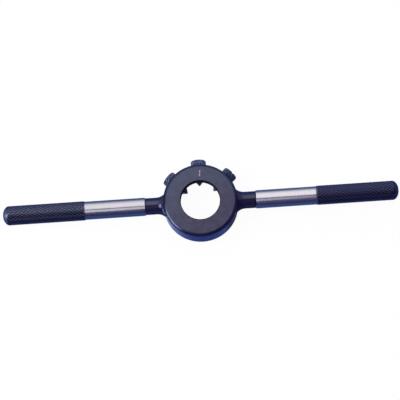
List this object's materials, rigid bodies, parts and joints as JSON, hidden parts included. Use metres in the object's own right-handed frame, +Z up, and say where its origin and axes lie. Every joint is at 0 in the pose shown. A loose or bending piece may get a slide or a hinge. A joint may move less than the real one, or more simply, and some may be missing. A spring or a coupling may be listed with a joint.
{
  "type": "die stock handle",
  "caption": "Straight two-handed die stock with a round collar for a button die, knurled set screws that close on the die, and knurled bar handles.",
  "frame": {"origin": "centre of the die pocket's mouth, on the collar's axis, in the plane that the collar rests on", "axes": "+Z up along the collar's axis, out of the shoulder side; +X out along the right handle; +Y out along the centre screw"},
  "size_m": [0.202, 0.0416, 0.013],
  "materials": {
    "black_collar": "satin black oxide on steel, slightly blue",
    "handle_steel": "bare ground band, then a blacked, diamond knurled grip",
    "black_screw": "black oxide, knurled head"
  },
  "bodies": {
    "stock": {"die_collar": "black_collar", "left_handle": "handle_steel", "right_handle": "handle_steel"},
    "left_screw": {"left_screw": "black_screw"},
    "centre_screw": {"centre_screw": "black_screw"},
    "right_screw": {"right_screw": "black_screw"}
  },
  "joints": [
    {"name": "left_screw_travel", "type": "slide", "parent": "stock", "child": "left_screw", "axis": [-0.7314, 0.682, 0], "range_m": [-0.00025, 0.0042]},
    {"name": "centre_screw_travel", "type": "slide", "parent": "stock", "child": "centre_screw", "axis": [0, 1, 0], "range_m": [-0.001, 0.00345]},
    {"name": "right_screw_travel", "type": "slide", "parent": "stock", "child": "right_screw", "axis": [0.7314, 0.682, 0], "range_m": [-0.00095, 0.0035]}
  ]
}
